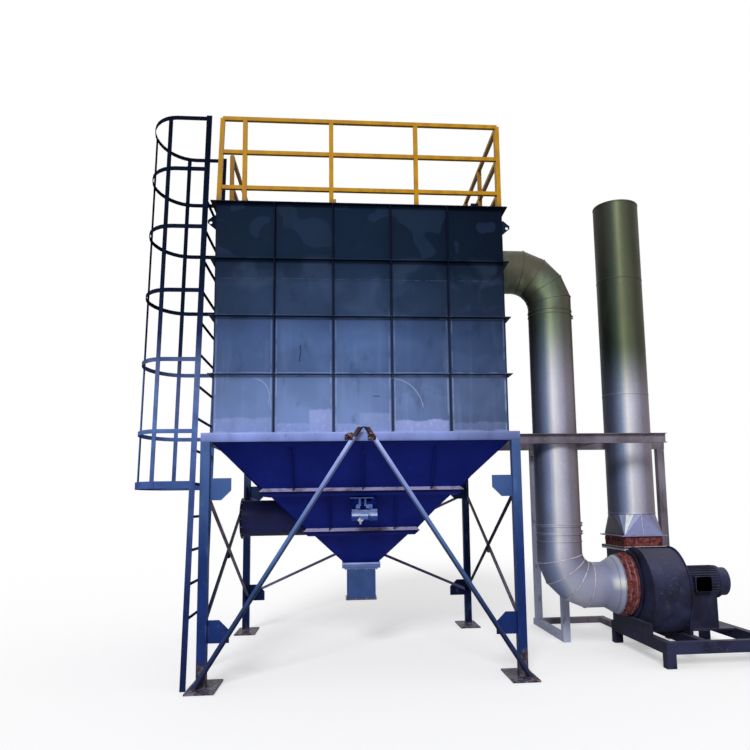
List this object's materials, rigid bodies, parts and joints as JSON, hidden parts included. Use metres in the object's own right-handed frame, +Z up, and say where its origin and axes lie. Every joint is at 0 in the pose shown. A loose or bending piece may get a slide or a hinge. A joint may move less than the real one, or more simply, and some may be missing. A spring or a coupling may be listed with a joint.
{
  "type": "baghouse dust collector",
  "caption": "Stiffened steel filter housing on braced legs with a pyramid hopper, caged ladder, roof guard rail, clean-air duct, radial fan and open stack.",
  "frame": {"origin": "on the ground under the middle of the whole footprint, ladder cage to fan skid", "axes": "+X from the ladder side to the fan side, -Y out of the front with the inclined struts, +Z up"},
  "size_m": [6.5448, 3.5, 5.7783],
  "materials": {
    "blue_paint": "worn semi-gloss paint",
    "housing_paint": "weathered, patched paint",
    "hopper_paint": "semi-gloss paint",
    "ochre_paint": "semi-gloss paint",
    "galvanised": "satin sheet",
    "red_fabric": "coated cloth",
    "fan_paint": "dusty paint",
    "grey_paint": "matt primer",
    "cast_blue": "painted casting"
  },
  "bodies": {
    "root": {"leg_front_left": "blue_paint", "leg_front_right": "blue_paint", "leg_rear_left": "blue_paint", "leg_rear_right": "blue_paint", "beam_front": "blue_paint", "beam_rear": "blue_paint", "beam_left": "blue_paint", "beam_right": "blue_paint", "brace_left_outer": "blue_paint", "brace_left_inner": "blue_paint", "brace_right_outer": "blue_paint", "brace_right_inner": "blue_paint", "brace_rear_outer": "blue_paint", "brace_rear_inner": "blue_paint", "strut_left": "blue_paint", "strut_right": "blue_paint", "wall_front": "housing_paint", "wall_rear": "housing_paint", "wall_left": "housing_paint", "wall_right": "housing_paint", "roof_deck": "housing_paint", "roof_hatch_left": "housing_paint", "roof_hatch_right": "housing_paint", "guard_rail_front": "ochre_paint", "guard_rail_rear": "ochre_paint", "guard_rail_left": "ochre_paint", "guard_rail_right": "ochre_paint", "ladder": "blue_paint", "ladder_cage": "blue_paint", "hopper_front": "hopper_paint", "hopper_rear": "hopper_paint", "hopper_left": "hopper_paint", "hopper_right": "hopper_paint", "outlet_flange": "hopper_paint", "discharge_spool": "blue_paint", "inlet_branch": "blue_paint", "vibrator_bracket": "blue_paint", "vibrator_motor": "cast_blue", "duct_top_elbow": "galvanised", "duct_riser": "galvanised", "duct_bottom_elbow": "galvanised", "fan_inlet_connector": "red_fabric", "fan_casing": "fan_paint", "fan_motor": "fan_paint", "fan_skid": "fan_paint", "fan_outlet_connector": "red_fabric", "stack_transition": "galvanised", "stack_pipe": "galvanised", "frame_front_beam": "grey_paint", "frame_rear_beam": "grey_paint", "frame_cross_beam": "grey_paint", "frame_side_beam": "grey_paint", "frame_post_near": "grey_paint", "frame_post_far": "grey_paint", "frame_post_right": "grey_paint", "ground_rail_left": "grey_paint", "ground_rail_right": "grey_paint"}
  },
  "joints": []
}
